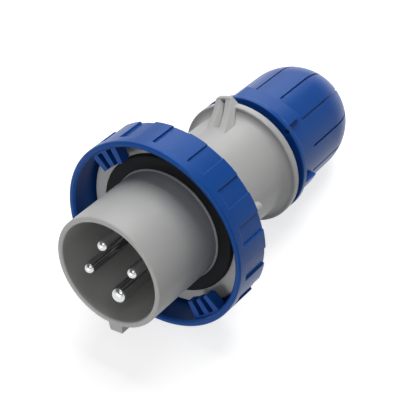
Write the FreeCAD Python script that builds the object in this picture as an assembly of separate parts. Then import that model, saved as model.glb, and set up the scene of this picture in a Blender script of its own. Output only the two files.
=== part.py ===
import FreeCAD, Part
import math
import os

from FreeCAD import Placement, Rotation, Vector

# Pin and sleeve plug, four pins, watertight, with a bayonet coupling ring and a cable gland.
# Every piece is built about the plug's own axis: X runs from the mouth to the gland, the mouth is at
# X = 0, and angles turn from +Y towards +Z. The finished plug is then laid on a table, where it rests
# on two pads of the coupling ring and on the gland nut. All lengths are millimetres, angles degrees.

# Collar, the tube that slides into the socket
collar_length = 38.5
collar_radius = 24.75
collar_wall = 2.4
rim_rounding = 0.8
foot_height = 0.5
foot_length = 0.8

# Key rib along the outside of the collar
key_angle = 261.0
key_height = 4.4
key_base_width = 7.0
key_top_width = 5.6
key_start = 0.4
key_length = 29.6
key_rounding = 1.7

# Flange of the front body, which carries the face gasket and traps the ring
flange_thickness = 3.3
flange_gap = 1.4
gasket_thickness = 2.5
gasket_radius = 31.0
gasket_rounding = 0.7
seat_gap = 0.05

# Hub that the ring turns on, and the spigot that plugs into the rear housing
hub_radius = 27.0
hub_length = 2.8
spigot_wall = 2.0
spigot_clearance = 0.1
body_seal_section = 0.45
body_seal_setback = 5.4

# Coupling ring
ring_overhang = 9.8
ring_radius = 42.2
ring_wall = 2.8
ring_web = 2.6
ring_running_gap = 0.2
ring_bore_clearance = 0.08
ring_lip_rounding = 0.9
ring_back_chamfer = 0.5
pad_count = 16
pad_share = 0.5
pad_height = 0.9
pad_front_band = 4.3
pad_centre_angle = 281.25

# Bayonet lugs inside the ring's mouth
lug_count = 2
lug_angle = 47.0
lug_span = 21.5
lug_setback = 2.6
lug_thickness = 5.0
lug_reach = 7.7
lug_slot_count = 2
lug_slot_span = 4.3
lug_slot_depth = 4.0
lug_slot_root = 0.7
lug_ramp = 1.2

# Contact carrier and the four contacts
carrier_depth = 38.2
carrier_length = 16.0
carrier_ledge = 2.0
carrier_ledge_height = 1.2
carrier_clearance = 0.1
carrier_wall_height = 9.0
carrier_wall_width = 1.8
pin_circle_radius = 11.15
pin_recess = 1.4
phase_pin_radius = 2.5
earth_pin_radius = 3.5
earth_angle = 248.5
pin_tip_height = 1.5
pin_seat_step = 0.4
pin_hole_clearance = 0.05
terminal_collar = 1.3
terminal_length = 13.0
wire_hole_radius = 1.9
wire_hole_depth = 10.0
terminal_screw_radius = 1.5
terminal_screw_setback = 4.5
terminal_screw_slot = 0.6
retainer_thickness = 1.9
retainer_width = 2.6

# Rear housing
shoulder_radius = 29.5
shoulder_length = 2.3
neck_radius = 27.4
neck_length = 9.6
barrel_radius = 23.6
barrel_wall = 3.0
taper_length = 5.6
rear_flange_radius = 27.6
rear_flange_face = 91.2
rear_flange_thickness = 3.1
rear_flange_rounding = 0.7
rear_fillet = 0.8
thread_radius = 20.5
thread_length = 15.7
throat_radius = 15.5
throat_ledge = 2.2
throat_ledge_height = 4.0

# Screw towers on the housing, and their screws
tower_count = 2
tower_angle = 172.0
tower_offset = 25.2
tower_radius = 2.3
tower_end = 67.8
tower_rounding = 0.5
tower_recess_radius = 1.4
tower_recess_depth = 5.0
screw_head_radius = 1.3
screw_head_height = 1.4
screw_radius = 0.85
screw_clearance = 0.12
screw_bite = 4.6
screw_slot_width = 0.5

# Slotted arm that climbs over the housing's rear flange
boss_angle = 35.7
boss_offset = 16.3
boss_width = 6.5
boss_radius = 30.6
boss_start = 76.2
boss_sag = 0.5
boss_ear_length = 2.6
boss_ear_step = 0.8
boss_rounding = 0.8
boss_hollow_start = 84.6
boss_hollow_seat = 0.6
boss_slot_width = 2.5
boss_slot_start = 78.2
boss_slot_floor = 15.2
boss_slot_run = 1.6
boss_end_wall = 2.2
boss_eye_radius = 1.0
boss_eye_depth = 1.8

# Gland nut
nut_gap = 0.3
nut_neck_length = 3.8
nut_neck_radius = 23.7
nut_flange_length = 2.8
nut_flange_radius = 27.6
nut_flange_rounding = 0.5
nut_radius = 24.7
nut_taper = 0.5
nut_pad_length = 8.8
nut_dome_start = 131.7
nut_dome_radius = 25.3
nut_length = 54.9
nut_end_rounding = 1.2
nut_pad_count = 3
nut_pad_angle = 97.7
nut_pad_span = 60.0
nut_pad_radius = 25.7
nut_pad_corner_radius = 27.3
nut_groove_count = 12
nut_groove_angle = 11.7
nut_groove_setback = 2.6
nut_groove_width = 0.9
nut_groove_depth = 0.8
nut_thread_clearance = 0.08
nut_cone_start_radius = 19.5
nut_cone_end_radius = 14.5
nut_cone_end = 134.5
nut_entry_radius = 9.0
nut_entry_flare = 3.0
nut_mark_angle = 131.5
nut_mark_offset = 26.5
nut_mark_radius = 1.1
nut_mark_depth = 2.0

# Gland seal, clamping cage and slip washer inside the nut
seal_cable_radius = 8.0
seal_clearance = 0.2
seal_length = 33.0
cage_base = 3.4
cage_finger_count = 8
cage_slot_width = 1.6
cage_clearance = 0.35
cage_wall = 2.6
washer_thickness = 1.3
washer_gap = 0.3

# Places along the axis that follow from the sizes above
flange_face = collar_length + gasket_thickness
flange_back = flange_face + flange_thickness
hub_end = flange_back + ring_running_gap + hub_length
carrier_end = carrier_depth + carrier_length
spigot_end = carrier_end + retainer_thickness
ring_front = collar_length - ring_overhang
web_front = flange_back + ring_running_gap
ring_back = web_front + ring_web
housing_front = hub_end + seat_gap
neck_end = housing_front + shoulder_length + neck_length
rear_flange_back = rear_flange_face + rear_flange_thickness
thread_end = rear_flange_back + thread_length
nut_front = rear_flange_back + nut_gap
nut_flange_front = nut_front + nut_neck_length
nut_flange_back = nut_flange_front + nut_flange_length
nut_pad_back = nut_flange_back + nut_pad_length
nut_groove_front = nut_pad_back + nut_groove_setback
nut_back = nut_front + nut_length

# Radii that follow from the sizes above
collar_bore = collar_radius - collar_wall
carrier_bore = collar_bore - carrier_ledge_height
ledge_bore = carrier_bore - carrier_ledge_height
spigot_radius = carrier_bore + spigot_wall
socket_radius = spigot_radius + spigot_clearance
ring_bore = ring_radius - ring_wall
flange_radius = ring_bore - flange_gap
web_bore = hub_radius + ring_bore_clearance
housing_bore = barrel_radius - barrel_wall
foot_radius = collar_radius + foot_height
cone_slope = (nut_cone_start_radius - nut_cone_end_radius) / (nut_cone_end - thread_end)

AXIS = Vector(1, 0, 0)
ORIGIN = Vector(0, 0, 0)
FULL_TURN = 360.0
CLOSE = 1e-5


def at(x, radius, angle=0.0):
    """Point at a place along the axis, a radius and an angle."""
    turn = math.radians(angle)
    return Vector(x, radius * math.cos(turn), radius * math.sin(turn))


def outline(steps):
    """Closed face in the X-Y plane; a step is a point, or a pair of points that an arc passes."""
    edges = []
    first = Vector(*steps[0], 0)
    here = first
    for step in steps[1:]:
        if isinstance(step[0], tuple):
            there = Vector(*step[1], 0)
            edges.append(Part.Arc(here, Vector(*step[0], 0), there).toShape())
        else:
            there = Vector(*step, 0)
            edges.append(Part.LineSegment(here, there).toShape())
        here = there
    if not here.isEqual(first, CLOSE):
        edges.append(Part.LineSegment(here, first).toShape())
    return Part.Face(Part.Wire(edges))


def turned(steps, sweep=FULL_TURN, middle_angle=0.0):
    """Solid of revolution about the axis; a part turn is centred on the given angle."""
    solid = outline(steps).revolve(ORIGIN, AXIS, sweep)
    if sweep < FULL_TURN:
        solid.rotate(ORIGIN, AXIS, middle_angle - sweep / 2)
    return solid


def tube(start, end, outer, inner):
    return turned([(start, inner), (start, outer), (end, outer), (end, inner)])


def sector(start, end, inner, outer, sweep, middle_angle):
    return turned([(start, inner), (start, outer), (end, outer), (end, inner)], sweep, middle_angle)


def rod(start, end, radius, centre):
    """Cylinder along the axis, through the given point of the Y-Z plane."""
    return Part.makeCylinder(radius, end - start, Vector(start, centre.y, centre.z), AXIS)


def arc_step(centre, radius, from_degrees, to_degrees):
    """Arc step for an outline, from one direction to another about a centre."""
    points = []
    for degrees in ((from_degrees + to_degrees) / 2, to_degrees):
        turn = math.radians(degrees)
        points.append((centre[0] + radius * math.cos(turn), centre[1] + radius * math.sin(turn)))
    return tuple(points)


def around(shape, count, first_angle=0.0):
    """Copies of a shape at equal angles about the axis."""
    copies = []
    for number in range(count):
        copy = shape.copy()
        copy.rotate(ORIGIN, AXIS, first_angle + number * FULL_TURN / count)
        copies.append(copy)
    return copies


def key_rib():
    """Tapered rib, round at its free edges, that runs along the collar."""
    root = collar_radius - collar_wall / 2
    tip = collar_radius + key_height
    wire = Part.makePolygon([
        Vector(key_start, root, -key_base_width / 2),
        Vector(key_start, tip, -key_top_width / 2),
        Vector(key_start, tip, key_top_width / 2),
        Vector(key_start, root, key_base_width / 2),
        Vector(key_start, root, -key_base_width / 2),
    ])
    rib = Part.Face(wire).extrude(Vector(key_length, 0, 0))
    free_edges = []
    for edge in rib.Edges:
        box = edge.BoundBox
        along_tip = box.YMin > tip - 0.01 and box.XLength > key_height
        front_tip = box.YMin > tip - 0.01 and box.XMax < key_start + 0.01
        if along_tip or front_tip:
            free_edges.append(edge)
    rib = rib.makeFillet(key_rounding, free_edges)
    rib.rotate(ORIGIN, AXIS, key_angle)
    return rib


def front_body():
    """Collar, flange, hub and spigot in one moulding."""
    rim = rim_rounding
    body = turned([
        (0, collar_radius - rim),
        arc_step((rim, collar_radius - rim), rim, 180, 90),
        (collar_length - foot_length, collar_radius),
        (collar_length - foot_length + foot_height, foot_radius),
        (flange_face, foot_radius),
        (flange_face, flange_radius - ring_lip_rounding),
        arc_step((flange_face + ring_lip_rounding, flange_radius - ring_lip_rounding),
                 ring_lip_rounding, 180, 90),
        (flange_back, flange_radius),
        (flange_back, hub_radius),
        (hub_end, hub_radius),
        (hub_end, spigot_radius),
        (spigot_end, spigot_radius),
        (spigot_end, carrier_bore),
        (carrier_depth + carrier_ledge, carrier_bore),
        (carrier_depth + carrier_ledge, ledge_bore),
        (carrier_depth - carrier_ledge / 4, ledge_bore),
        (carrier_depth - carrier_ledge / 4, collar_bore),
        (rim, collar_bore),
        arc_step((rim, collar_bore + rim), rim, 270, 180),
    ])
    body = body.fuse(key_rib())
    groove_centre = spigot_end - body_seal_setback
    groove_half = body_seal_section + 2 * seat_gap
    groove = tube(groove_centre - groove_half, groove_centre + groove_half,
                  spigot_radius + 1, seal_groove_radius())
    cuts = [groove]
    for centre in tower_centres():
        cuts.append(rod(hub_end - screw_bite, hub_end + 1, screw_radius + seat_gap, centre))
    return body.cut(cuts).removeSplitter()


def seal_groove_radius():
    return socket_radius - 2 * body_seal_section - seat_gap * 2


def body_seal():
    ring_radius_of_seal = seal_groove_radius() + seat_gap + body_seal_section
    return Part.makeTorus(ring_radius_of_seal, body_seal_section,
                          Vector(spigot_end - body_seal_setback, 0, 0), AXIS)


def face_gasket():
    """Flat rubber ring against the flange, round at its outer edge."""
    inner = foot_radius + seat_gap
    front = flange_face - gasket_thickness
    edge = gasket_rounding
    return turned([
        (flange_face - seat_gap, inner),
        (front, inner),
        (front, gasket_radius - edge),
        arc_step((front + edge, gasket_radius - edge), edge, 180, 90),
        (flange_face - seat_gap, gasket_radius),
    ])


def bayonet_lug():
    """Block with radial slots in its front and a ramp at the back edge that pulls the plug home."""
    front = ring_front + lug_setback
    back = front + lug_thickness
    tip = ring_bore - lug_reach
    root = ring_bore + ring_wall / 3
    lug = turned([(front, tip), (front, root), (back, root), (back, tip + lug_ramp),
                  (back - lug_ramp, tip)], lug_span, 0)
    first = -(lug_slot_count - 1) / 2
    pitch = (lug_span + lug_slot_span) / (lug_slot_count + 1)
    for number in range(lug_slot_count):
        slot = sector(front - 1, front + lug_slot_depth, tip - 1, ring_bore - lug_slot_root,
                      lug_slot_span, (first + number) * pitch)
        lug = lug.cut(slot)
    return lug


def coupling_ring():
    """Ring with a rounded lip, grip pads, a rear web that runs on the hub, and two bayonet lugs."""
    lip = ring_lip_rounding
    chamfer = ring_back_chamfer
    ring = turned([
        (ring_front, ring_bore + lip),
        (ring_front, ring_radius - lip),
        arc_step((ring_front + lip, ring_radius - lip), lip, 180, 90),
        (ring_back - chamfer, ring_radius),
        (ring_back, ring_radius - chamfer),
        (ring_back, web_bore + chamfer),
        (ring_back - chamfer, web_bore),
        (web_front, web_bore),
        (web_front, ring_bore),
        (ring_front + lip, ring_bore),
    ])
    pitch = FULL_TURN / pad_count
    recess_front = ring_front + pad_front_band
    recess = sector(recess_front, ring_back + 1, ring_radius - pad_height, ring_radius + 1,
                    pitch * (1 - pad_share), 0)
    recesses = around(recess, pad_count, pad_centre_angle + pitch / 2)
    ring = ring.cut(recesses)
    return ring.fuse(around(bayonet_lug(), lug_count, lug_angle)).removeSplitter()


def pin_centre(number):
    """Centre of a contact; number 0 is earth, then the phases in turn."""
    return at(0, pin_circle_radius, earth_angle + 90.0 * number)


def pin_radius(number):
    return earth_pin_radius if number == 0 else phase_pin_radius


def contact_carrier():
    """Insulating block that holds the contacts, with walls between the terminals."""
    clear = carrier_clearance
    nose = carrier_depth + carrier_ledge + seat_gap
    block = turned([
        (carrier_depth, 0),
        (carrier_depth, ledge_bore - clear),
        (nose, ledge_bore - clear),
        (nose, carrier_bore - clear),
        (carrier_end, carrier_bore - clear),
        (carrier_end, 0),
    ])
    reach = carrier_bore - retainer_width - 2 * clear
    walls = []
    for turn in (45.0, 135.0):
        wall = Part.makeBox(carrier_wall_height, 2 * reach, carrier_wall_width,
                            Vector(carrier_end, -reach, -carrier_wall_width / 2))
        wall.rotate(ORIGIN, AXIS, earth_angle + turn)
        walls.append(wall)
    block = block.fuse(walls)
    holes = []
    for number in range(4):
        radius = pin_radius(number) + pin_seat_step + pin_hole_clearance
        holes.append(rod(carrier_depth - 1, carrier_end + 1, radius, pin_centre(number)))
    return block.cut(holes).removeSplitter()


def contact(number):
    """Turned pin with a domed tip, a thicker seat in the carrier and a terminal barrel behind it."""
    radius = pin_radius(number)
    seat = radius + pin_seat_step
    barrel = radius + terminal_collar
    sphere = (radius ** 2 + pin_tip_height ** 2) / (2 * pin_tip_height)
    rise = math.degrees(math.asin(radius / sphere))
    barrel_start = carrier_end + seat_gap
    barrel_end = barrel_start + terminal_length
    pin = turned([
        (pin_recess, 0),
        arc_step((pin_recess + sphere, 0), sphere, 180, 180 - rise),
        (carrier_depth, radius),
        (carrier_depth, seat),
        (barrel_start, seat),
        (barrel_start, barrel),
        (barrel_end, barrel),
        (barrel_end, wire_hole_radius),
        (barrel_end - wire_hole_depth, wire_hole_radius),
        (barrel_end - wire_hole_depth, 0),
    ])
    across = Part.makeCylinder(terminal_screw_radius + seat_gap, barrel + 1,
                               Vector(barrel_end - terminal_screw_setback, 0, 0), Vector(0, 1, 0))
    pin = pin.cut(across)
    return placed_contact(pin, number)


def placed_contact(shape, number):
    """Turn a contact's piece so that its screw faces outwards, and move it to the pin circle."""
    shape.rotate(ORIGIN, AXIS, earth_angle + 90.0 * number)
    shape.translate(pin_centre(number))
    return shape


def terminal_screw(number):
    """Slotted grub screw that clamps the wire in a contact's barrel."""
    barrel = pin_radius(number) + terminal_collar
    where = carrier_end + seat_gap + terminal_length - terminal_screw_setback
    floor = wire_hole_radius / 2
    screw = Part.makeCylinder(terminal_screw_radius, barrel - floor, Vector(where, floor, 0), Vector(0, 1, 0))
    slot = Part.makeBox(3 * terminal_screw_radius, 1, terminal_screw_slot,
                        Vector(where - 1.5 * terminal_screw_radius, barrel - terminal_screw_slot,
                               -terminal_screw_slot / 2))
    return placed_contact(screw.cut(slot), number)


def carrier_retainer():
    """Plain ring that the rear housing presses on the carrier."""
    start = carrier_end + seat_gap
    outer = carrier_bore - carrier_clearance
    return tube(start, start + retainer_thickness - 2 * seat_gap, outer, outer - retainer_width)


def tower_centres():
    centres = []
    for number in range(tower_count):
        centres.append(at(0, tower_offset, tower_angle + number * FULL_TURN / tower_count))
    return centres


def ramp_boss():
    """Arm that climbs in a slight curve from the barrel to over the rear flange, open underneath."""
    foot = Vector(boss_start, barrel_radius, 0)
    ear_front = rear_flange_back - boss_ear_length
    head = Vector(ear_front, boss_radius - boss_ear_step, 0)
    climb = head - foot
    sag = Vector(climb.y, -climb.x, 0).normalize() * boss_sag
    middle = (foot + head) / 2 + sag
    arm = turned([
        (boss_start, 0),
        (boss_start, barrel_radius),
        ((middle.x, middle.y), (head.x, head.y)),
        (ear_front + boss_ear_step, boss_radius),
        (rear_flange_back, boss_radius),
        (rear_flange_back, 0),
    ])
    slab = Part.makeBox(rear_flange_back - boss_start, boss_radius, boss_width,
                        Vector(boss_start, 0, boss_offset - boss_width / 2))
    hollow = turned([
        (boss_hollow_start, barrel_radius),
        (rear_flange_face + CLOSE, barrel_radius),
        (rear_flange_face + CLOSE, rear_flange_radius - boss_hollow_seat),
    ])
    boss = arm.common(slab)
    crest_edges = []
    for edge in boss.Edges:
        box = edge.BoundBox
        on_side = box.ZLength < CLOSE
        on_crest = box.XMin > ear_front + boss_ear_step - CLOSE and box.XLength > CLOSE
        if on_side and on_crest and box.YMin > barrel_radius / 2:
            crest_edges.append(edge)
    boss = boss.makeFillet(boss_rounding, crest_edges).cut(hollow)
    boss.rotate(ORIGIN, AXIS, boss_angle)
    return boss


def boss_slot():
    """Deep slot in the climbing arm, with a sloping front, and the eye in the wall behind it."""
    slot_end = rear_flange_back - boss_end_wall
    above = 2 * boss_radius
    profile = Part.makePolygon([
        Vector(boss_slot_start, boss_slot_floor + boss_slot_width, 0),
        Vector(boss_slot_start + boss_slot_run, boss_slot_floor, 0),
        Vector(slot_end, boss_slot_floor, 0),
        Vector(slot_end, above, 0),
        Vector(boss_slot_start, above, 0),
        Vector(boss_slot_start, boss_slot_floor + boss_slot_width, 0),
    ])
    slot = Part.Face(profile).extrude(Vector(0, 0, boss_slot_width))
    slot.translate(Vector(0, 0, boss_offset - boss_slot_width / 2))
    eye_reach = math.sqrt((boss_radius - 2 * boss_eye_radius) ** 2 - boss_offset ** 2)
    eye = rod(slot_end - 1, slot_end + boss_eye_depth, boss_eye_radius, Vector(0, eye_reach, boss_offset))
    cut = slot.fuse(eye)
    cut.rotate(ORIGIN, AXIS, boss_angle)
    return cut


def rear_housing():
    """Housing that closes the plug behind the ring and carries the gland's thread."""
    rounding = rear_flange_rounding
    fillet_centre = (rear_flange_face - rear_fillet, barrel_radius + rear_fillet)
    taper_end = neck_end + taper_length
    taper_middle = (neck_end + taper_length * 0.6, barrel_radius + (neck_radius - barrel_radius) * 0.2)
    ledge_front = rear_flange_back - 0.5
    throat_back = ledge_front + throat_ledge
    ledge_radius = throat_radius - throat_ledge_height
    bore_end = ledge_front - (housing_bore - ledge_radius)
    outside = [
        (housing_front, socket_radius),
        (housing_front, shoulder_radius),
        (housing_front + shoulder_length, shoulder_radius),
        (housing_front + shoulder_length, neck_radius),
        (neck_end, neck_radius),
        (taper_middle, (taper_end, barrel_radius)),
        (rear_flange_face - rear_fillet, barrel_radius),
        arc_step(fillet_centre, rear_fillet, 270, 360),
        (rear_flange_face, rear_flange_radius - rounding),
        arc_step((rear_flange_face + rounding, rear_flange_radius - rounding), rounding, 180, 90),
        (rear_flange_back, rear_flange_radius),
        (rear_flange_back, thread_radius),
        (thread_end, thread_radius),
    ]
    inside = [
        (thread_end, throat_radius),
        (throat_back, throat_radius),
        (throat_back, ledge_radius),
        (ledge_front, ledge_radius),
        (bore_end, housing_bore),
        (spigot_end + seat_gap, housing_bore),
        (spigot_end + seat_gap, socket_radius),
    ]
    housing = turned(outside + inside)
    cavity = turned([
        (housing_front, 0),
        (housing_front, socket_radius),
        (spigot_end + seat_gap, socket_radius),
        (spigot_end + seat_gap, housing_bore),
        (bore_end, housing_bore),
        (ledge_front, ledge_radius),
        (ledge_front, 0),
    ])
    additions = []
    cuts = [cavity]
    for centre in tower_centres():
        tower = rod(housing_front + shoulder_length / 2, tower_end, tower_radius, centre)
        end_edges = [edge for edge in tower.Edges if edge.BoundBox.XMin > tower_end - 0.01]
        additions.append(tower.makeFillet(tower_rounding, end_edges))
        recess_floor = tower_end - tower_recess_depth
        cuts.append(rod(recess_floor, tower_end + 1, tower_recess_radius, centre))
        cuts.append(rod(housing_front - 1, recess_floor + 1, screw_radius + screw_clearance, centre))
    additions.append(ramp_boss())
    cuts.append(boss_slot())
    return housing.fuse(additions).cut(cuts).removeSplitter()


def housing_screw(centre):
    """Slotted screw from the housing into the hub."""
    floor = tower_end - tower_recess_depth
    shaft = rod(hub_end - screw_bite + 2 * seat_gap, floor, screw_radius, centre)
    head = rod(floor, floor + screw_head_height, screw_head_radius, centre)
    slot = Part.makeBox(screw_slot_width, 2 * screw_head_radius, screw_slot_width,
                        Vector(floor + screw_head_height - screw_slot_width, centre.y - screw_head_radius,
                               centre.z - screw_slot_width / 2))
    return shaft.fuse(head).cut(slot).removeSplitter()


def nut_radius_at(x):
    """Radius of the nut's slightly tapered grip."""
    share = (x - nut_flange_back) / (nut_dome_start - nut_flange_back)
    return nut_radius - nut_taper * share


def nut_dome_centre():
    return (nut_dome_start, nut_radius_at(nut_dome_start) - nut_dome_radius)


def nut_dome_angle():
    """Direction from the dome's centre to where the dome meets the end face."""
    return math.degrees(math.acos((nut_back - nut_dome_start) / nut_dome_radius))


def nut_dome_point(radius, degrees):
    centre = nut_dome_centre()
    turn = math.radians(degrees)
    return (centre[0] + radius * math.cos(turn), centre[1] + radius * math.sin(turn))


def grip_groove():
    """Slab that leaves a groove of even depth along the grip and over the dome."""
    floor_radius = nut_dome_radius - nut_groove_depth
    last = nut_dome_angle()
    middle = (90 + last) / 2
    far = nut_radius + 5
    face = outline([
        (nut_groove_front, far),
        (nut_groove_front, nut_radius_at(nut_groove_front) - nut_groove_depth),
        (nut_dome_start, nut_radius_at(nut_dome_start) - nut_groove_depth),
        (nut_dome_point(floor_radius, middle), nut_dome_point(floor_radius, last)),
        (nut_back + 1, nut_dome_point(floor_radius, last)[1]),
        (nut_back + 1, far),
    ])
    slab = face.extrude(Vector(0, 0, nut_groove_width))
    slab.translate(Vector(0, 0, -nut_groove_width / 2))
    return slab


def nut_pad():
    """Flat-faced pad for a wrench, beside the nut's flange."""
    half = nut_pad_span / 2
    root = nut_neck_radius - nut_flange_rounding * 4
    left = at(nut_flange_back, nut_pad_corner_radius, -half)
    right = at(nut_flange_back, nut_pad_corner_radius, half)
    low_left = at(nut_flange_back, root, -half)
    low_right = at(nut_flange_back, root, half)
    wire = Part.Wire([
        Part.LineSegment(low_left, left).toShape(),
        Part.Arc(left, at(nut_flange_back, nut_pad_radius, 0), right).toShape(),
        Part.LineSegment(right, low_right).toShape(),
        Part.Arc(low_right, at(nut_flange_back, root, 0), low_left).toShape(),
    ])
    return Part.Face(wire).extrude(Vector(nut_pad_length, 0, 0))


def gland_nut():
    """Domed nut with a flange, three wrench pads and grip grooves, open along the axis."""
    rounding = nut_flange_rounding
    last = nut_dome_angle()
    end_radius = nut_dome_point(nut_dome_radius, last)[1]
    bore = thread_radius + nut_thread_clearance
    flare = nut_entry_flare
    outside = [
        (nut_front, bore),
        (nut_front, nut_neck_radius),
        (nut_flange_front, nut_neck_radius),
        (nut_flange_front, nut_flange_radius - rounding),
        arc_step((nut_flange_front + rounding, nut_flange_radius - rounding), rounding, 180, 90),
        (nut_flange_back - rounding, nut_flange_radius),
        arc_step((nut_flange_back - rounding, nut_flange_radius - rounding), rounding, 90, 0),
        (nut_flange_back, nut_radius),
        (nut_dome_start, nut_radius_at(nut_dome_start)),
        (nut_dome_point(nut_dome_radius, (90 + last) / 2), (nut_back, end_radius)),
        (nut_back, nut_entry_radius + flare),
    ]
    inside = [
        arc_step((nut_back - flare, nut_entry_radius + flare), flare, 360, 270),
        (nut_cone_end, nut_entry_radius),
        (nut_cone_end, nut_cone_end_radius),
        (thread_end + nut_gap, nut_cone_start_radius),
        (thread_end + nut_gap, bore),
    ]
    nut = turned(outside + inside)
    nut = nut.fuse(around(nut_pad(), nut_pad_count, nut_pad_angle))
    nut = nut.cut(around(grip_groove(), nut_groove_count, nut_groove_angle))
    mark = rod(nut_flange_front - 1, nut_flange_front + nut_mark_depth, nut_mark_radius,
               at(0, nut_mark_offset, nut_mark_angle))
    return nut.cut(mark).removeSplitter()


def cage_radius_at(x):
    """Outside of the clamping cage, which follows the nut's inner cone."""
    return nut_cone_start_radius - cone_slope * (x - thread_end) - cage_clearance


def gland_cage():
    """Clamping cage whose fingers close on the seal as the nut comes down."""
    start = thread_end + seat_gap
    finger_start = start + cage_base
    end = nut_cone_end - washer_thickness - 2 * washer_gap
    cage = turned([
        (start, cage_radius_at(start) - cage_wall),
        (start, cage_radius_at(start) - cage_clearance),
        (finger_start, cage_radius_at(finger_start)),
        (end, cage_radius_at(end)),
        (end, cage_radius_at(end) - cage_wall),
    ])
    slot = Part.makeBox(end - finger_start + 1, nut_radius, cage_slot_width,
                        Vector(finger_start, 0, -cage_slot_width / 2))
    return cage.cut(around(slot, cage_finger_count))


def gland_seal():
    """Rubber bush round the cable, held in the housing's throat and the cage."""
    start = rear_flange_back - 0.5 + throat_ledge + seat_gap
    end = start + seal_length
    throat = throat_radius - seal_clearance
    return turned([
        (start, seal_cable_radius),
        (start, throat),
        (thread_end, throat),
        (end, cage_radius_at(end) - cage_wall - seal_clearance),
        (end, seal_cable_radius),
    ])


def slip_washer():
    """Washer that lets the nut turn without dragging the cage round."""
    end = nut_cone_end - seat_gap
    outer = cage_radius_at(nut_cone_end)
    return tube(end - washer_thickness, end, outer, nut_entry_radius + washer_gap)


def rest_tilt():
    """Angle that the axis makes with the table: a line that touches the ring's pads and the dome."""
    pad_gap = math.radians(FULL_TURN / pad_count * (1 - pad_share) / 2)
    ring_x = ring_back - ring_back_chamfer
    ring_r = ring_radius * math.cos(pad_gap)
    dome_x, dome_r = nut_dome_centre()
    distance = math.hypot(dome_x - ring_x, ring_r - dome_r)
    return math.degrees(math.atan2(ring_r - dome_r, dome_x - ring_x)
                        - math.asin(nut_dome_radius / distance))


def laid_down(pieces):
    """Tilt the plug on to the table and put the origin on the table below the middle of its box."""
    tilt = Placement(ORIGIN, Rotation(Vector(0, 1, 0), rest_tilt()))
    box = FreeCAD.BoundBox()
    for shape in pieces.values():
        shape.Placement = tilt.multiply(shape.Placement)
        box.add(shape.optimalBoundingBox(False, False))
    shift = Vector(-box.Center.x, -box.Center.y, -box.ZMin)
    for shape in pieces.values():
        shape.translate(shift)
    return shift


def build():
    pieces = {
        "front_body": front_body(),
        "face_gasket": face_gasket(),
        "coupling_ring": coupling_ring(),
        "contact_carrier": contact_carrier(),
        "carrier_retainer": carrier_retainer(),
        "body_seal": body_seal(),
        "rear_housing": rear_housing(),
        "gland_seal": gland_seal(),
        "gland_cage": gland_cage(),
        "slip_washer": slip_washer(),
        "gland_nut": gland_nut(),
    }
    for number, name in enumerate(("earth", "l1", "l2", "l3")):
        pieces["pin_" + name] = contact(number)
        pieces["terminal_screw_" + name] = terminal_screw(number)
    for side, centre in zip(("left", "right"), tower_centres()):
        pieces["housing_screw_" + side] = housing_screw(centre)
    return pieces


pieces = build()
shift = laid_down(pieces)
os.makedirs("parts", exist_ok=True)
for name, shape in pieces.items():
    shape.exportStep("parts/" + name + ".step")
    print(name, "valid" if shape.isValid() else "NOT VALID", len(shape.Solids), "solid", round(shape.Volume, 1))
print("rest tilt", round(rest_tilt(), 4), "shift", shift)
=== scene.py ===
import math

import bmesh
import bpy
from bpy.props import FloatProperty, FloatVectorProperty, PointerProperty, StringProperty
from mathutils import Euler, Matrix, Vector


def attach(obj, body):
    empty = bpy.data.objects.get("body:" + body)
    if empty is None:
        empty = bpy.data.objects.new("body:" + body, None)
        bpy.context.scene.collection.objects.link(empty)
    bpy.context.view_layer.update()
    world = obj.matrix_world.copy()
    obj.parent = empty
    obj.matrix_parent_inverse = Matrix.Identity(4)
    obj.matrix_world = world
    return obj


bl_info = {
    "name": "Pin and Sleeve Plug",
    "version": (1, 0, 0),
    "blender": (4, 5, 0),
    "location": "View3D > Sidebar > Plug",
    "description": "Finishes a watertight four-pin plug and sets it in a small studio",
    "category": "Object",
}

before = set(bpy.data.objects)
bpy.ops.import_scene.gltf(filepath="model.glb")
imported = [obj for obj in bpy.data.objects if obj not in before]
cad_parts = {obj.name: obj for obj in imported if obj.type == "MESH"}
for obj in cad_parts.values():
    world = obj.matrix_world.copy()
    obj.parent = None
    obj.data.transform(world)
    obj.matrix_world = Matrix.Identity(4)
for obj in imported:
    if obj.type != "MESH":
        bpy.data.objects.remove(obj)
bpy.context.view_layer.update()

MM = 0.001

GREY_NODES = ("front_body", "rear_housing")
BLUE_NODES = ("coupling_ring", "gland_nut")
RUBBER_NODES = ("face_gasket", "body_seal", "gland_seal")
INNER_NODES = ("contact_carrier", "carrier_retainer", "gland_cage", "slip_washer")
CONTACT_NODES = ("pin_earth", "pin_l1", "pin_l2", "pin_l3")
SCREW_NODES = (
    "terminal_screw_earth",
    "terminal_screw_l1",
    "terminal_screw_l2",
    "terminal_screw_l3",
    "housing_screw_left",
    "housing_screw_right",
)

# Points closer than this are one point
WELD_DISTANCE = 0.001 * MM
# Faces that meet at more than this angle keep a sharp edge between them
SHARP_ANGLE = math.radians(28)
# How far a form that is fitted over a solid stands proud of it or sinks into it
SKIN = 0.01 * MM

EARTH_RADIUS = 3.5 * MM
LINE_RADIUS = 2.5 * MM
TIP_ARC_STEPS = 10
TIP_TURN_STEPS = 48

# The cove's arc stops short of a quarter turn, just inside the flange's face
COVE_START = 0.94
COVE_ARC = math.radians(72)
COVE_ARC_STEPS = 12
COVE_TURN_STEPS = 160
# How deep the cove's hidden sides sink into the flange and into the barrel
COVE_IN_FLANGE = 0.4 * MM
COVE_IN_BARREL = 0.3 * MM

# Typical refraction of the mouldings
POLYAMIDE_IOR = 1.53
RUBBER_IOR = 1.52

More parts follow.
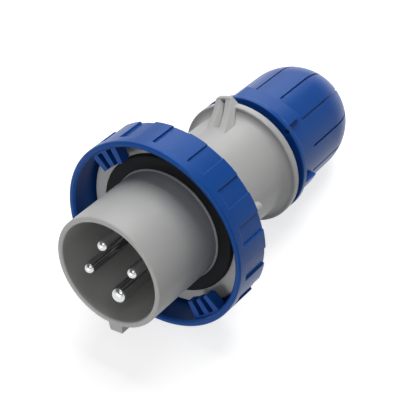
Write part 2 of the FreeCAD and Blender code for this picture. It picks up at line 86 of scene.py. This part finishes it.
# Sizes of the patterns on the mouldings and the plating
MELT_CLOUDS = 22 * MM
RUBBER_BLOOM = 6 * MM
RUBBER_GRAIN = 0.5 * MM
INNER_GRAIN = 0.7 * MM
PLATING_STAIN = 3 * MM
MOULD_DEPTH = 0.05 * MM
LATHE_DEPTH = 0.02 * MM
# A Wave texture of scale 1 runs its sine this many radians to the metre
WAVE_RADIANS = 20
# Noise seldom leaves this range
NOISE_LOW, NOISE_HIGH = 0.3, 0.7

# The sockets for colours on a Mix node, which come after those for numbers and vectors
MIX_FIRST, MIX_SECOND, MIX_RESULT = 6, 7, 2

# Height of a gaze, from 0 level to 1 straight up, where the walls end and where the ceiling starts
WALL_TOP, CEILING_EDGE = 0.3, 0.6
# Place and size of each lamp in metres; the stage's settings hold the powers
LAMPS = {
    "key": ((0.3, 0.0, 0.95), (0.6, 0.6)),
    "rear": ((0.7, 0.3, 0.55), (0.6, 0.6)),
    "front": ((-0.95, 0.08, 0.15), (0.5, 0.26)),
    "fill": ((-0.45, -0.3, 0.8), (0.6, 0.6)),
}
# The camera sees as far as this, past the edge of the floor
VIEW_DEPTH = 50


def linear(hex_colour):
    """Turns an sRGB hex value into the linear colour that shaders take."""
    digits = hex_colour.lstrip("#")
    channels = []
    for start in (0, 2, 4):
        value = int(digits[start:start + 2], 16) / 255
        channels.append(value / 12.92 if value <= 0.04045 else ((value + 0.055) / 1.055) ** 2.4)
    return (*channels, 1.0)


WHITE = linear("#ffffff")


class PlugFinishSettings(bpy.types.PropertyGroup):
    """Colours and surface sizes of the plug's materials."""

    blue: StringProperty(
        name="Blue", description="sRGB colour of the blue mouldings", default="#12438c")
    # The pale blue is where the melt's flow leaves the colour lighter, and it also paints highlight
    # along the edges
    blue_pale: StringProperty(
        name="Pale blue", description="sRGB colour of the blue mouldings where they are rubbed",
        default="#24559b")
    blue_sheen: StringProperty(
        name="Blue sheen", description="sRGB tint of the light that the blue mouldings mirror",
        default="#7cb0ff")
    grey: StringProperty(
        name="Grey", description="sRGB colour of the grey mouldings", default="#a9a9a8")
    # The pale grey is where the melt's flow leaves the colour lighter, and it also paints highlight
    # along the edges
    grey_pale: StringProperty(
        name="Pale grey", description="sRGB colour of the grey mouldings where they are rubbed",
        default="#c3c3c1")
    grey_sheen: StringProperty(
        name="Grey sheen", description="sRGB tint of the light that the grey mouldings mirror",
        default="#ffffff")
    rubber: StringProperty(
        name="Rubber", description="sRGB colour of the gasket and seals", default="#191a1b")
    rubber_bloom: StringProperty(
        name="Rubber bloom", description="sRGB colour of the gasket and seals where they have bloomed",
        default="#262729")
    # The dark inner colour is painted shade on the contact carrier, deep in the mouth, and the colour
    # of the other inner pieces
    inner: StringProperty(
        name="Inner", description="sRGB colour of the insulating pieces inside", default="#1a1b1d")
    inner_pale: StringProperty(
        name="Pale inner", description="sRGB colour of the raised grain of the pieces inside",
        default="#242629")
    nickel: StringProperty(
        name="Nickel", description="sRGB colour of the plated contacts", default="#cdcecf")
    zinc: StringProperty(
        name="Zinc", description="sRGB colour of the plated screws", default="#b9b6ae")
    edge_radius: FloatProperty(
        name="Edge radius", description="Rounding that the light shows on moulded edges",
        default=0.35 * MM, unit="LENGTH", precision=5)
    grain: FloatProperty(
        name="Grain", description="Spark-eroded grain of the mouldings, drawn coarse enough to show",
        default=0.6 * MM, unit="LENGTH", precision=5)


class PlugTrimSettings(bpy.types.PropertyGroup):
    """Sizes of the small forms that are fitted over the solids, along the plug's own axis."""

    tilt: FloatProperty(
        name="Tilt", description="Angle by which the plug leans down on its ring and its nut",
        default=math.radians(11.4784), subtype="ANGLE")
    shift: FloatVectorProperty(
        name="Shift", description="Place of the middle of the mouth", size=3,
        default=(-72.37003 * MM, 0.0, 50.43021 * MM), subtype="TRANSLATION")
    tip_start: FloatProperty(
        name="Tip start", description="How far the contacts' tips stand behind the mouth",
        default=0.4 * MM, unit="LENGTH", precision=5)
    tip_rounding: FloatProperty(
        name="Tip rounding", description="Rounding of the contacts' tips",
        default=2.5 * MM, unit="LENGTH", precision=5)
    pin_circle: FloatProperty(
        name="Pin circle", description="Radius of the circle that the contacts stand on",
        default=11.15 * MM, unit="LENGTH", precision=5)
    earth_angle: FloatProperty(
        name="Earth angle", description="Place of the thick contact on that circle",
        default=math.radians(248.5), subtype="ANGLE")
    cove_radius: FloatProperty(
        name="Cove radius", description="Hollow rounding between the barrel and the rear flange",
        default=3.6 * MM, unit="LENGTH", precision=5)
    cove_face: FloatProperty(
        name="Cove face", description="Place of the rear flange's front face",
        default=91.2 * MM, unit="LENGTH", precision=5)
    barrel_radius: FloatProperty(
        name="Barrel radius", description="Radius of the barrel under the cove",
        default=23.6 * MM, unit="LENGTH", precision=5)
    arm_angle: FloatProperty(
        name="Arm angle", description="Turn of the slotted arm",
        default=math.radians(35.7), subtype="ANGLE")
    slot_offset: FloatProperty(
        name="Slot offset", description="Distance of the arm's slot from the axis",
        default=16.3 * MM, unit="LENGTH", precision=5)
    slot_width: FloatProperty(
        name="Slot width", description="Width that the cove leaves free for the arm's slot",
        default=2.64 * MM, unit="LENGTH", precision=5)


class PlugStageSettings(bpy.types.PropertyGroup):
    """Camera, lamps and floor."""

    aim: FloatVectorProperty(
        name="Aim", description="Point that the camera looks at", size=3,
        default=(-0.010658, 0.000922, 0.034725), subtype="TRANSLATION")
    distance: FloatProperty(
        name="Distance", description="Distance from the camera to its aim",
        default=0.620376, unit="LENGTH")
    azimuth: FloatProperty(
        name="Azimuth", description="Turn of the camera round the plug",
        default=math.radians(-50.6277), subtype="ANGLE")
    elevation: FloatProperty(
        name="Elevation", description="Height of the camera above the horizon",
        default=math.radians(46.6087), subtype="ANGLE")
    roll: FloatProperty(
        name="Roll", description="Turn of the camera about its own axis",
        default=math.radians(6.1457), subtype="ANGLE")
    view_angle: FloatProperty(
        name="View angle", description="Angle that the square picture takes in",
        default=math.radians(15.1893), subtype="ANGLE")
    floor_colour: StringProperty(
        name="Floor", description="sRGB colour of the floor", default="#bdbdbd")
    floor_size: FloatProperty(
        name="Floor size", description="Width of the floor", default=12.0, unit="LENGTH")
    floor_glow: FloatProperty(
        name="Floor glow", description="Light that lifts the floor to white where it is seen",
        default=0.75)
    lit_radius: FloatProperty(
        name="Lit radius", description="How far out the lamps light the floor fully",
        default=0.3, unit="LENGTH")
    dim_radius: FloatProperty(
        name="Dim radius", description="How far out the floor's glow has to be full",
        default=0.8, unit="LENGTH")
    sky: FloatProperty(
        name="Sky", description="Strength of the even light from all sides", default=0.02)
    ceiling: FloatProperty(
        name="Ceiling", description="Brightness of the ceiling in gloss, where the walls are 1",
        default=0.2)
    key: FloatProperty(
        name="Key lamp", description="Power of the large lamp above the plug", default=7.4)
    rear: FloatProperty(
        name="Rear lamp", description="Power of the lamp above and behind the gland", default=2.8)
    front: FloatProperty(
        name="Front lamp", description="Power of the low lamp before the mouth", default=3.1)
    fill: FloatProperty(
        name="Fill lamp", description="Power of the lamp above the camera's side", default=1.6)


def finish_settings():
    return bpy.context.scene.plug_finish


def trim_settings():
    return bpy.context.scene.plug_trim


def stage_settings():
    return bpy.context.scene.plug_stage


def fill_sockets(tree, node, sockets):
    """Joins a node's sockets to other nodes' outputs, or sets them where a plain value is given."""
    for name, value in sockets.items():
        if isinstance(value, bpy.types.NodeSocket):
            tree.links.new(value, node.inputs[name])
        else:
            node.inputs[name].default_value = value


def add_node(tree, kind, sockets=None, **settings):
    """Adds a node; settings are its attributes, and sockets are keyed by name or number."""
    node = tree.nodes.new(kind)
    for name, value in settings.items():
        setattr(node, name, value)
    fill_sockets(tree, node, sockets or {})
    return node


def new_material(name):
    """A node material with only its shader and its output, joined."""
    material = bpy.data.materials.new(name)
    material.use_nodes = True
    tree = material.node_tree
    tree.nodes.clear()
    shader = add_node(tree, "ShaderNodeBsdfPrincipled")
    output = add_node(tree, "ShaderNodeOutputMaterial", {"Surface": shader.outputs["BSDF"]})
    return material, tree, shader, output


def cad_pieces(names):
    return [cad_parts[name] for name in names]


def paint(pieces, material):
    """Gives pieces a material and smooth shading between their sharp edges."""
    for piece in pieces:
        piece.data.materials.clear()
        piece.data.materials.append(material)
        for face in piece.data.polygons:
            face.use_smooth = True
        weld = piece.modifiers.new("weld", "WELD")
        weld.merge_threshold = WELD_DISTANCE
        split = piece.modifiers.new("sharp_edges", "EDGE_SPLIT")
        split.split_angle = SHARP_ANGLE


def draw_arc(form, start, centre, axis, angle, steps):
    """Draws an arc of edges from its first point and returns its last one."""
    arc = bmesh.ops.spin(form, geom=[start], cent=centre, axis=axis, dvec=(0, 0, 0),
                         angle=angle, steps=steps, use_merge=False, use_duplicate=False)
    return arc["geom_last"][0]


def close_outline(form, first, last, corners):
    """Joins the two ends of an open outline through the given corners."""
    here = last
    for corner in corners:
        there = form.verts.new((*corner, 0.0))
        form.edges.new((here, there))
        here = there
    form.edges.new((here, first))


def turn_profile(form, steps):
    """Spins the edges of a closed outline once round the plug's axis."""
    bmesh.ops.spin(form, geom=form.verts[:] + form.edges[:], cent=(0, 0, 0), axis=(1, 0, 0),
                   dvec=(0, 0, 0), angle=2 * math.pi, steps=steps, use_merge=True,
                   use_duplicate=False)
    bmesh.ops.remove_doubles(form, verts=form.verts, dist=WELD_DISTANCE)
    bmesh.ops.dissolve_degenerate(form, dist=WELD_DISTANCE, edges=form.edges)


def stand_on_plug(name, form, material):
    """Leans a form with the plug and makes it a piece that rides on the plug's body."""
    sizes = trim_settings()
    bmesh.ops.recalc_face_normals(form, faces=form.faces)
    lean = Matrix.Translation(Vector(sizes.shift)) @ Matrix.Rotation(sizes.tilt, 4, "Y")
    bmesh.ops.transform(form, matrix=lean, verts=form.verts)
    mesh = bpy.data.meshes.new(name)
    form.to_mesh(mesh)
    form.free()
    piece = bpy.data.objects.new(name, mesh)
    bpy.context.scene.collection.objects.link(piece)
    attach(piece, "plug_body")
    paint([piece], material)


def moulded_polyamide(name, colour, pale, sheen, level, roughness):
    """Glass-filled polyamide from a spark-eroded mould: an even colour, a faint grain, a soft sheen."""
    sizes = finish_settings()
    material, tree, shader, _ = new_material(name)
    place = add_node(tree, "ShaderNodeTexCoord").outputs["Object"]
    clouds = add_node(tree, "ShaderNodeTexNoise", {
        "Vector": place, "Scale": 1 / MELT_CLOUDS, "Detail": 3.0})
    grain = add_node(tree, "ShaderNodeTexNoise", {
        "Vector": place, "Scale": 1 / sizes.grain, "Detail": 2.0})
    # The flow of the melt leaves the colour a little uneven over a couple of centimetres
    flow = add_node(tree, "ShaderNodeMapRange", {
        "Value": clouds.outputs["Fac"], "From Min": NOISE_LOW, "From Max": NOISE_HIGH,
        "To Min": 0.0, "To Max": 0.22})
    # Painted highlight: the edges are painted pale, where the rounded normal leaves the flat one
    rounded = add_node(tree, "ShaderNodeBevel", {"Radius": sizes.edge_radius}, samples=6)
    straight = add_node(tree, "ShaderNodeNewGeometry").outputs["Normal"]
    turn = add_node(tree, "ShaderNodeVectorMath", {0: rounded.outputs["Normal"], 1: straight},
                    operation="DOT_PRODUCT")
    painted_bright = add_node(tree, "ShaderNodeMapRange", {
        "Value": turn.outputs["Value"], "From Min": 0.995, "From Max": 0.85,
        "To Min": 0.0, "To Max": 0.5})
    both = add_node(tree, "ShaderNodeMath", {0: flow.outputs["Result"], 1: painted_bright.outputs["Result"]},
                    operation="ADD", use_clamp=True)
    # The colour leans to the pale one with the melt's flow, and with the painted highlight along the
    # edges
    mix = add_node(tree, "ShaderNodeMix", {
        "Factor": both.outputs["Value"], MIX_FIRST: linear(colour), MIX_SECOND: linear(pale)},
        data_type="RGBA")
    gloss = add_node(tree, "ShaderNodeMapRange", {
        "Value": grain.outputs["Fac"], "From Min": NOISE_LOW, "From Max": NOISE_HIGH,
        "To Min": roughness - 0.05, "To Max": roughness + 0.06})
    bump = add_node(tree, "ShaderNodeBump", {
        "Height": grain.outputs["Fac"], "Normal": rounded.outputs["Normal"],
        "Strength": 0.06, "Distance": MOULD_DEPTH})
    fill_sockets(tree, shader, {
        "Base Color": mix.outputs[MIX_RESULT], "Roughness": gloss.outputs["Result"],
        "Normal": bump.outputs["Normal"], "IOR": POLYAMIDE_IOR, "Specular IOR Level": level,
        "Specular Tint": linear(sheen)})
    return material


def moulded_rubber():
    """Moulded EPDM: nearly black, with a bloom that dulls it in patches."""
    sizes = finish_settings()
    material, tree, shader, _ = new_material("moulded_epdm_rubber")
    place = add_node(tree, "ShaderNodeTexCoord").outputs["Object"]
    bloom = add_node(tree, "ShaderNodeTexNoise", {
        "Vector": place, "Scale": 1 / RUBBER_BLOOM, "Detail": 4.0})
    grain = add_node(tree, "ShaderNodeTexNoise", {
        "Vector": place, "Scale": 1 / RUBBER_GRAIN, "Detail": 2.0})
    shade = add_node(tree, "ShaderNodeMix", {
        "Factor": bloom.outputs["Fac"], MIX_FIRST: linear(sizes.rubber),
        MIX_SECOND: linear(sizes.rubber_bloom)}, data_type="RGBA")
    gloss = add_node(tree, "ShaderNodeMapRange", {
        "Value": bloom.outputs["Fac"], "To Min": 0.6, "To Max": 0.75})
    bump = add_node(tree, "ShaderNodeBump", {
        "Height": grain.outputs["Fac"], "Strength": 0.1, "Distance": MOULD_DEPTH})
    fill_sockets(tree, shader, {
        "Base Color": shade.outputs[MIX_RESULT], "Roughness": gloss.outputs["Result"],
        "Normal": bump.outputs["Normal"], "IOR": RUBBER_IOR, "Specular IOR Level": 0.1})
    return material


def inner_moulding():
    """Dark heat-proof polyamide of the pieces inside: matt, with a fine grain. On the contact carrier
    the dark colour is painted shade, deep in the mouth.
    """
    sizes = finish_settings()
    material, tree, shader, _ = new_material("moulded_dark_polyamide")
    place = add_node(tree, "ShaderNodeTexCoord").outputs["Object"]
    grain = add_node(tree, "ShaderNodeTexNoise", {
        "Vector": place, "Scale": 1 / INNER_GRAIN, "Detail": 3.0})
    # Painted shade: on the contact carrier this dark colour stands in for the shade deep in the mouth
    shade = add_node(tree, "ShaderNodeMix", {
        "Factor": grain.outputs["Fac"], MIX_FIRST: linear(sizes.inner),
        MIX_SECOND: linear(sizes.inner_pale)}, data_type="RGBA")
    bump = add_node(tree, "ShaderNodeBump", {
        "Height": grain.outputs["Fac"], "Strength": 0.08, "Distance": MOULD_DEPTH})
    fill_sockets(tree, shader, {
        "Base Color": shade.outputs[MIX_RESULT], "Roughness": 0.55,
        "Normal": bump.outputs["Normal"], "IOR": POLYAMIDE_IOR})
    return material


def plated_metal(name, colour, roughness, line_spacing):
    """Turned and plated metal: turning lines round the piece, which spread the highlights a little."""
    material, tree, shader, _ = new_material(name)
    place = add_node(tree, "ShaderNodeTexCoord").outputs["Object"]
    lines = add_node(tree, "ShaderNodeTexWave", {
        "Vector": place, "Scale": 2 * math.pi / (WAVE_RADIANS * line_spacing), "Distortion": 1.5,
        "Detail": 2.0}, bands_direction="X")
    stain = add_node(tree, "ShaderNodeTexNoise", {
        "Vector": place, "Scale": 1 / PLATING_STAIN, "Detail": 3.0})
    gloss = add_node(tree, "ShaderNodeMapRange", {
        "Value": stain.outputs["Fac"], "To Min": roughness - 0.04, "To Max": roughness + 0.08})
    bump = add_node(tree, "ShaderNodeBump", {
        "Height": lines.outputs["Fac"], "Strength": 0.05, "Distance": LATHE_DEPTH})
    fill_sockets(tree, shader, {
        "Base Color": linear(colour), "Metallic": 1.0, "Roughness": gloss.outputs["Result"],
        "Normal": bump.outputs["Normal"]})
    return material


class PLUG_OT_grey_mouldings(bpy.types.Operator):
    """Finish the collar, the flange and the rear housing in grey polyamide"""

    bl_idname = "plug.grey_mouldings"
    bl_label = "Grey mouldings"

    def execute(self, context):
        sizes = finish_settings()
        grey = moulded_polyamide("grey_moulded_polyamide", sizes.grey, sizes.grey_pale,
                                 sizes.grey_sheen, level=0.5, roughness=0.46)
        paint(cad_pieces(GREY_NODES), grey)
        return {"FINISHED"}


class PLUG_OT_blue_mouldings(bpy.types.Operator):
    """Finish the coupling ring and the gland nut in blue polyamide"""

    bl_idname = "plug.blue_mouldings"
    bl_label = "Blue mouldings"

    def execute(self, context):
        sizes = finish_settings()
        blue = moulded_polyamide("blue_moulded_polyamide", sizes.blue, sizes.blue_pale,
                                 sizes.blue_sheen, level=0.3, roughness=0.33)
        paint(cad_pieces(BLUE_NODES), blue)
        return {"FINISHED"}


class PLUG_OT_rubber(bpy.types.Operator):
    """Finish the face gasket and the seals in black rubber"""

    bl_idname = "plug.rubber"
    bl_label = "Gasket and seals"

    def execute(self, context):
        paint(cad_pieces(RUBBER_NODES), moulded_rubber())
        return {"FINISHED"}


class PLUG_OT_inner_pieces(bpy.types.Operator):
    """Finish the contact carrier and the clamping pieces in dark polyamide; on the carrier the dark
    colour is painted shade deep in the mouth
    """

    bl_idname = "plug.inner_pieces"
    bl_label = "Inner pieces"

    def execute(self, context):
        paint(cad_pieces(INNER_NODES), inner_moulding())
        return {"FINISHED"}


class PLUG_OT_contacts(bpy.types.Operator):
    """Finish the four contacts in nickel and the screws in zinc"""

    bl_idname = "plug.contacts"
    bl_label = "Contacts and screws"

    def execute(self, context):
        sizes = finish_settings()
        # Real turning lines are about 0.1 mm apart, and they are drawn coarser so that they show
        nickel = plated_metal("nickel_plated_brass", sizes.nickel, roughness=0.11,
                              line_spacing=0.754 * MM)
        zinc = plated_metal("zinc_plated_steel", sizes.zinc, roughness=0.3,
                            line_spacing=1.257 * MM)
        paint(cad_pieces(CONTACT_NODES), nickel)
        paint(cad_pieces(SCREW_NODES), zinc)
        return {"FINISHED"}


class PLUG_OT_contact_tips(bpy.types.Operator):
    """Round off the four contacts' tips"""

    bl_idname = "plug.contact_tips"
    bl_label = "Contact tips"

    def execute(self, context):
        sizes = trim_settings()
        end = sizes.tip_start + sizes.tip_rounding
        for number, name in enumerate(CONTACT_NODES):
            radius = (EARTH_RADIUS if name == "pin_earth" else LINE_RADIUS) + SKIN
            flat = radius - sizes.tip_rounding
            form = bmesh.new()
            edge = form.verts.new((sizes.tip_start, flat, 0.0))
            last = draw_arc(form, edge, (end, flat, 0.0), (0, 0, -1), math.pi / 2, TIP_ARC_STEPS)
            middle = form.verts.new((sizes.tip_start, 0.0, 0.0))
            form.edges.new((middle, edge))
            close_outline(form, middle, last, [(end, 0.0)])
            turn_profile(form, TIP_TURN_STEPS)
            angle = sizes.earth_angle + number * math.pi / 2
            place = (0.0, sizes.pin_circle * math.cos(angle), sizes.pin_circle * math.sin(angle))
            bmesh.ops.translate(form, vec=place, verts=form.verts)
            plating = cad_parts[name].data.materials[0]
            stand_on_plug(name.replace("pin_", "tip_"), form, plating)
        return {"FINISHED"}


class PLUG_OT_flange_cove(bpy.types.Operator):
    """Run the cove round the foot of the rear flange, up to the slot of the arm"""

    bl_idname = "plug.flange_cove"
    bl_label = "Flange cove"

    def execute(self, context):
        sizes = trim_settings()
        radius = sizes.cove_radius
        foot = sizes.barrel_radius - SKIN
        form = bmesh.new()
        first = form.verts.new((sizes.cove_face - COVE_START * radius, foot, 0.0))
        centre = (first.co.x, foot + radius, 0.0)
        last = draw_arc(form, first, centre, (0, 0, 1), COVE_ARC, COVE_ARC_STEPS)
        back = sizes.cove_face + COVE_IN_FLANGE
        inside = foot - COVE_IN_BARREL
        close_outline(form, first, last, [(back, last.co.y), (back, inside), (first.co.x, inside)])
        turn_profile(form, COVE_TURN_STEPS)
        self.free_the_slot(form, sizes)
        bmesh.ops.rotate(form, cent=(0, 0, 0), matrix=Matrix.Rotation(sizes.arm_angle, 3, "X"),
                         verts=form.verts)
        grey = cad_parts["rear_housing"].data.materials[0]
        stand_on_plug("flange_cove", form, grey)
        return {"FINISHED"}

    @staticmethod
    def free_the_slot(form, sizes):
        """Cuts the cove on both sides of the arm's slot, and closes the two ends."""
        for side in (-1, 1):
            wall = (0, 0, sizes.slot_offset + side * sizes.slot_width / 2)
            bmesh.ops.bisect_plane(form, geom=form.verts[:] + form.edges[:] + form.faces[:],
                                   plane_co=wall, plane_no=(0, 0, 1))
        in_slot = [face for face in form.faces
                   if face.calc_center_median().y > 0
                   and abs(face.calc_center_median().z - sizes.slot_offset) < sizes.slot_width / 2]
        bmesh.ops.delete(form, geom=in_slot, context="FACES")
        bmesh.ops.holes_fill(form, edges=[edge for edge in form.edges if edge.is_boundary])


def seen_directly(tree):
    """1 where a ray comes from the camera or from a mirror or glass, and 0 where it carries light."""
    rays = add_node(tree, "ShaderNodeLightPath")
    mirror = add_node(tree, "ShaderNodeMath", {
        0: rays.outputs["Is Glossy Ray"], 1: rays.outputs["Is Transmission Ray"]},
        operation="MAXIMUM")
    either = add_node(tree, "ShaderNodeMath", {
        0: rays.outputs["Is Camera Ray"], 1: mirror.outputs["Value"]}, operation="MAXIMUM")
    return either.outputs["Value"]


def light_the_room(sizes):
    """World that lights evenly and looks white where it is seen."""
    world = bpy.data.worlds.new("studio")
    bpy.context.scene.world = world
    world.use_nodes = True
    tree = world.node_tree
    tree.nodes.clear()
    even = add_node(tree, "ShaderNodeBackground", {"Color": WHITE, "Strength": sizes.sky})
    # A studio is white round its walls and darker over the lamps, which polished pins show
    heading = add_node(tree, "ShaderNodeTexCoord").outputs["Generated"]
    height = add_node(tree, "ShaderNodeSeparateXYZ", {"Vector": heading}).outputs["Z"]
    wall = add_node(tree, "ShaderNodeMapRange", {
        "Value": height, "From Min": WALL_TOP, "From Max": CEILING_EDGE, "To Min": 1.0,
        "To Max": sizes.ceiling}, interpolation_type="SMOOTHSTEP")
    camera = add_node(tree, "ShaderNodeLightPath").outputs["Is Camera Ray"]
    brightness = add_node(tree, "ShaderNodeMath", {0: wall.outputs["Result"], 1: camera},
                          operation="MAXIMUM")
    white = add_node(tree, "ShaderNodeBackground", {
        "Color": WHITE, "Strength": brightness.outputs["Value"]})
    choice = add_node(tree, "ShaderNodeMixShader", {
        0: seen_directly(tree), 1: even.outputs["Background"], 2: white.outputs["Background"]})
    add_node(tree, "ShaderNodeOutputWorld", {"Surface": choice.outputs["Shader"]})


def lay_floor(sizes):
    """Pale painted floor that keeps the plug's shadow and looks white to the camera."""
    plane = bmesh.new()
    bmesh.ops.create_grid(plane, x_segments=1, y_segments=1, size=sizes.floor_size / 2)
    mesh = bpy.data.meshes.new("floor")
    plane.to_mesh(mesh)
    plane.free()
    floor = bpy.data.objects.new("floor", mesh)
    bpy.context.scene.collection.objects.link(floor)
    material, tree, paint_shader, output = new_material("matt_painted_floor")
    fill_sockets(tree, paint_shader, {
        "Base Color": linear(sizes.floor_colour), "Roughness": 0.9, "Specular IOR Level": 0.1})
    # The lamps light only the middle of the floor, so its glow makes up for them further out
    place = add_node(tree, "ShaderNodeTexCoord").outputs["Object"]
    reach = add_node(tree, "ShaderNodeVectorMath", {0: place}, operation="LENGTH")
    spread = add_node(tree, "ShaderNodeMapRange", {
        "Value": reach.outputs["Value"], "From Min": sizes.lit_radius, "From Max": sizes.dim_radius,
        "To Min": sizes.floor_glow, "To Max": 1.0}, interpolation_type="SMOOTHSTEP")
    glow = add_node(tree, "ShaderNodeEmission", {
        "Color": WHITE, "Strength": spread.outputs["Result"]})
    dark = add_node(tree, "ShaderNodeEmission", {"Strength": 0.0})
    choice = add_node(tree, "ShaderNodeMixShader", {
        0: seen_directly(tree), 1: dark.outputs["Emission"], 2: glow.outputs["Emission"]})
    total = add_node(tree, "ShaderNodeAddShader", {
        0: paint_shader.outputs["BSDF"], 1: choice.outputs["Shader"]})
    fill_sockets(tree, output, {"Surface": total.outputs["Shader"]})
    mesh.materials.append(material)


def set_up_camera(sizes, aim):
    """Camera that looks at its aim from the photograph's side, turned about its own axis."""
    upright = Euler((math.pi / 2 - sizes.elevation, 0.0, sizes.azimuth), "XYZ").to_matrix()
    turn = upright @ Matrix.Rotation(-sizes.roll, 3, "Z")
    lens = bpy.data.cameras.new("camera")
    lens.sensor_fit = "HORIZONTAL"
    lens.angle = sizes.view_angle
    lens.clip_end = VIEW_DEPTH
    camera = bpy.data.objects.new("camera", lens)
    camera.location = aim + turn @ Vector((0, 0, sizes.distance))
    camera.rotation_euler = turn.to_euler()
    bpy.context.scene.collection.objects.link(camera)
    bpy.context.scene.camera = camera


def hang_lamp(name, place, size, power, aim):
    """White area lamp that faces its aim."""
    lamp = bpy.data.lights.new(name, "AREA")
    lamp.shape = "RECTANGLE"
    lamp.size, lamp.size_y = size
    lamp.energy = power
    holder = bpy.data.objects.new(name, lamp)
    holder.location = place
    holder.rotation_euler = (aim - Vector(place)).to_track_quat("-Z", "Y").to_euler()
    bpy.context.scene.collection.objects.link(holder)


class PLUG_OT_stage(bpy.types.Operator):
    """Lay the floor, hang the lamps and set up the camera"""

    bl_idname = "plug.stage"
    bl_label = "Stage"

    def execute(self, context):
        sizes = stage_settings()
        aim = Vector(sizes.aim)
        lay_floor(sizes)
        light_the_room(sizes)
        set_up_camera(sizes, aim)
        for name, (place, size) in LAMPS.items():
            hang_lamp(name + "_lamp", place, size, getattr(sizes, name), aim)
        context.scene.view_settings.view_transform = "Standard"
        return {"FINISHED"}


class PLUG_PT_panel(bpy.types.Panel):
    """Lists the operators that finish the plug, and its settings."""

    bl_label = "Pin and Sleeve Plug"
    bl_idname = "PLUG_PT_panel"
    bl_space_type = "VIEW_3D"
    bl_region_type = "UI"
    bl_category = "Plug"

    def draw(self, context):
        layout = self.layout
        for operator in OPERATORS:
            layout.operator(operator.bl_idname)
        for settings in (finish_settings(), trim_settings(), stage_settings()):
            box = layout.box()
            for name in settings.__annotations__:
                box.prop(settings, name)


SETTINGS = (PlugFinishSettings, PlugTrimSettings, PlugStageSettings)
OPERATORS = (
    PLUG_OT_grey_mouldings,
    PLUG_OT_blue_mouldings,
    PLUG_OT_rubber,
    PLUG_OT_inner_pieces,
    PLUG_OT_contacts,
    PLUG_OT_contact_tips,
    PLUG_OT_flange_cove,
    PLUG_OT_stage,
)
CLASSES = SETTINGS + OPERATORS + (PLUG_PT_panel,)


def register():
    for item in CLASSES:
        bpy.utils.register_class(item)
    bpy.types.Scene.plug_finish = PointerProperty(type=PlugFinishSettings)
    bpy.types.Scene.plug_trim = PointerProperty(type=PlugTrimSettings)
    bpy.types.Scene.plug_stage = PointerProperty(type=PlugStageSettings)


def unregister():
    del bpy.types.Scene.plug_stage
    del bpy.types.Scene.plug_trim
    del bpy.types.Scene.plug_finish
    for item in reversed(CLASSES):
        bpy.utils.unregister_class(item)


def main():
    register()
    bpy.ops.plug.grey_mouldings()
    bpy.ops.plug.blue_mouldings()
    bpy.ops.plug.rubber()
    bpy.ops.plug.inner_pieces()
    bpy.ops.plug.contacts()
    bpy.ops.plug.contact_tips()
    bpy.ops.plug.flange_cove()
    bpy.ops.plug.stage()


if __name__ == "__main__":
    main()
